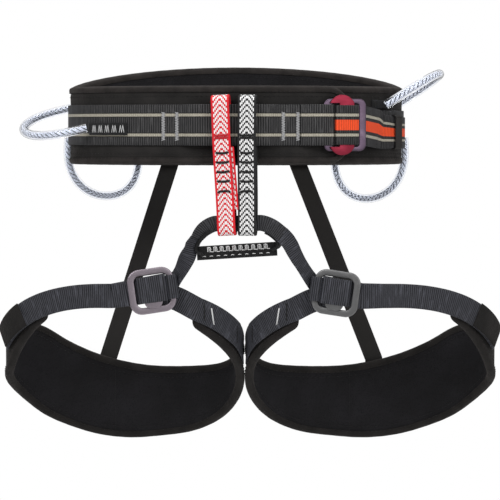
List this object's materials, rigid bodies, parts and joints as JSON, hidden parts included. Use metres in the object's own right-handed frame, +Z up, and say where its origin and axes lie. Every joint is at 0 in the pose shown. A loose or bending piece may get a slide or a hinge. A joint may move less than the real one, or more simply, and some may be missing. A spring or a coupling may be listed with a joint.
{
  "type": "climbing harness",
  "caption": "Padded sit harness with quick-adjust waist buckle, two belay loops, adjustable leg loops, elastic risers and clear-tube gear loops.",
  "frame": {"origin": "centre of the waist opening at the height of the middle of the waist webbing", "axes": "+Z up along the wearer, +X to the viewer's right as seen from the front, -Y towards the front"},
  "size_m": [0.5396, 0.24, 0.4081],
  "materials": {
    "alloy_grey": "satin anodised",
    "alloy_purple_grey": "satin anodised",
    "alloy_red": "satin anodised red",
    "binding_tape": "folded edge tape",
    "braided_cord": "braided cord, white with dark flecks",
    "clear_tube": "clear flexible tube",
    "elastic_black": "woven elastic",
    "foam": "closed cell foam",
    "mesh_lining": "fine spacer mesh",
    "thread_black": "bar tack thread",
    "thread_grey": "bar tack thread",
    "waist_softshell": "matt brushed softshell",
    "webbing_black": "ribbed webbing with pale stripes",
    "webbing_charcoal": "ribbed 25 mm webbing",
    "webbing_loop_black": "jacquard webbing, white chevrons",
    "webbing_orange": "ribbed webbing, orange stripe",
    "webbing_red": "jacquard webbing, white chevrons"
  },
  "bodies": {
    "waist": {"waist_pad_cover": "waist_softshell", "waist_pad_foam": "foam", "waist_pad_lining": "mesh_lining", "waist_pad_binding": "binding_tape", "waist_webbing_core": "webbing_black", "waist_webbing_front": "webbing_black", "waist_bartacks": "thread_grey", "waist_adjust_strap": "webbing_orange", "waist_strap_keeper": "elastic_black", "waist_buckle_frame": "alloy_purple_grey", "bridge_strap": "webbing_charcoal", "tie_in_bar": "webbing_charcoal", "tie_in_bartacks": "thread_grey", "gear_tab_rear_left": "webbing_charcoal", "gear_tab_rear_right": "webbing_charcoal", "gear_tab_front_left": "webbing_charcoal", "gear_tab_front_right": "webbing_charcoal"},
    "waist_slider": {"waist_buckle_slider": "alloy_red"},
    "belay_red": {"belay_loop_red": "webbing_red", "belay_loop_red_end_ply": "webbing_red", "belay_loop_red_bartacks": "thread_black"},
    "belay_black": {"belay_loop_black": "webbing_loop_black", "belay_loop_black_end_ply": "webbing_loop_black", "belay_loop_black_bartacks": "thread_black"},
    "leg_left": {"leg_pad_cover_left": "waist_softshell", "leg_pad_foam_left": "foam", "leg_pad_lining_left": "mesh_lining", "leg_pad_binding_left": "binding_tape", "leg_strap_left": "webbing_charcoal", "leg_strap_keeper_left": "elastic_black", "leg_fixed_loop_left": "webbing_charcoal", "leg_inner_strap_left": "webbing_charcoal", "side_strap_left": "webbing_charcoal", "leg_bartacks_left": "thread_grey", "leg_buckle_frame_left": "alloy_purple_grey", "leg_riser_left": "elastic_black"},
    "leg_slider_left": {"leg_buckle_slider_left": "alloy_purple_grey"},
    "leg_right": {"leg_pad_cover_right": "waist_softshell", "leg_pad_foam_right": "foam", "leg_pad_lining_right": "mesh_lining", "leg_pad_binding_right": "binding_tape", "leg_strap_right": "webbing_charcoal", "leg_strap_keeper_right": "elastic_black", "leg_fixed_loop_right": "webbing_charcoal", "leg_inner_strap_right": "webbing_charcoal", "side_strap_right": "webbing_charcoal", "leg_bartacks_right": "thread_grey", "leg_buckle_frame_right": "alloy_grey", "leg_riser_right": "elastic_black"},
    "leg_slider_right": {"leg_buckle_slider_right": "alloy_grey"},
    "gear_rear_left": {"gear_loop_rear_left_tube": "clear_tube", "gear_loop_rear_left_cord": "braided_cord"},
    "gear_rear_right": {"gear_loop_rear_right_tube": "clear_tube", "gear_loop_rear_right_cord": "braided_cord"},
    "gear_front_left": {"gear_loop_front_left_tube": "clear_tube", "gear_loop_front_left_cord": "braided_cord"},
    "gear_front_right": {"gear_loop_front_right_tube": "clear_tube", "gear_loop_front_right_cord": "braided_cord"}
  },
  "joints": [
    {"name": "waist_slider_slide", "type": "slide", "parent": "waist", "child": "waist_slider", "axis": [0.9273, 0.3743, 0], "range_m": [-0.0015, 0.002]},
    {"name": "belay_red_slide", "type": "slide", "parent": "waist", "child": "belay_red", "axis": [1, 0, 0], "range_m": [-0.004, 0.0004]},
    {"name": "belay_black_slide", "type": "slide", "parent": "waist", "child": "belay_black", "axis": [1, 0, 0], "range_m": [-0.0004, 0.004]},
    {"name": "leg_left_swing", "type": "hinge", "parent": "waist", "child": "leg_left", "pos_m": [-0.0455, -0.1195, -0.1195], "axis": [1, 0, 0], "range_deg": [-25, 30], "stiffness_Nm_per_rad": 1.5, "springref_deg": 3.22, "deforming": ["leg_riser_left", "side_strap_left"]},
    {"name": "leg_slider_left_slide", "type": "slide", "parent": "leg_left", "child": "leg_slider_left", "axis": [-0.9796, -0.145, -0.1392], "range_m": [-0.0015, 0.002]},
    {"name": "leg_right_swing", "type": "hinge", "parent": "waist", "child": "leg_right", "pos_m": [0.0545, -0.1195, -0.1195], "axis": [1, 0, 0], "range_deg": [-25, 30], "stiffness_Nm_per_rad": 1.5, "springref_deg": 3.33, "deforming": ["leg_riser_right", "side_strap_right"]},
    {"name": "leg_slider_right_slide", "type": "slide", "parent": "leg_right", "child": "leg_slider_right", "axis": [0.9767, -0.1631, -0.1392], "range_m": [-0.0015, 0.002]},
    {"name": "gear_rear_left_swing", "type": "hinge", "parent": "waist", "child": "gear_rear_left", "pos_m": [-0.14686, 0.05662, -0.018], "axis": [0.7234, 0.6858, -0.0802], "range_deg": [0, 60]},
    {"name": "gear_rear_right_swing", "type": "hinge", "parent": "waist", "child": "gear_rear_right", "pos_m": [0.14686, 0.05662, -0.018], "axis": [-0.7234, 0.6858, -0.0802], "range_deg": [-60, 0]},
    {"name": "gear_front_left_swing", "type": "hinge", "parent": "waist", "child": "gear_front_left", "pos_m": [-0.16581, -0.0157, 0.0085], "axis": [-0.154, 0.9676, 0.2001], "range_deg": [-20, 20], "stiffness_Nm_per_rad": 0.3, "springref_deg": 0.73},
    {"name": "gear_front_right_swing", "type": "hinge", "parent": "waist", "child": "gear_front_right", "pos_m": [0.1667, -0.0098, 0.021], "axis": [0.1581, 0.9874, 0], "range_deg": [-20, 20], "stiffness_Nm_per_rad": 0.3, "springref_deg": -0.57}
  ]
}
